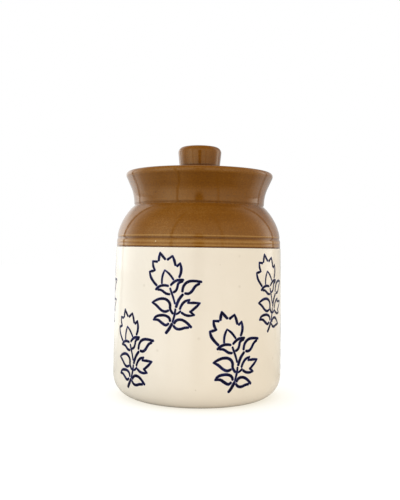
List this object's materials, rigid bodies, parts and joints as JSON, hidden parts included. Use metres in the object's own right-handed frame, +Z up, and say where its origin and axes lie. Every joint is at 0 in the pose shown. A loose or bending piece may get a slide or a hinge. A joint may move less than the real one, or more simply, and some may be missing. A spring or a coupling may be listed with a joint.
{
  "type": "lidded storage jar",
  "caption": "Lidded stoneware storage jar: cream glazed cylinder with blue flower sprigs, brown glazed shoulder and flared neck, and an inset lid with a knob that lifts off.",
  "frame": {"origin": "middle of the foot, on the surface that the jar stands on", "axes": "+Z up along the turning axis, -Y towards the picture's camera"},
  "size_m": [0.15, 0.15, 0.2231],
  "materials": {
    "cream_glaze": "glossy cream glaze on stoneware",
    "brown_glaze": "glossy honey brown glaze on stoneware",
    "blue_brushwork": "navy blue decoration under a glossy glaze"
  },
  "bodies": {
    "jar": {"jar_body": "cream_glaze", "shoulder_neck": "brown_glaze"},
    "lid": {"lid": "brown_glaze", "lid_knob": "brown_glaze"}
  },
  "joints": [
    {"name": "lid_lift", "type": "slide", "parent": "jar", "child": "lid", "axis": [0, 0, 1], "range_m": [0, 0.12]}
  ]
}
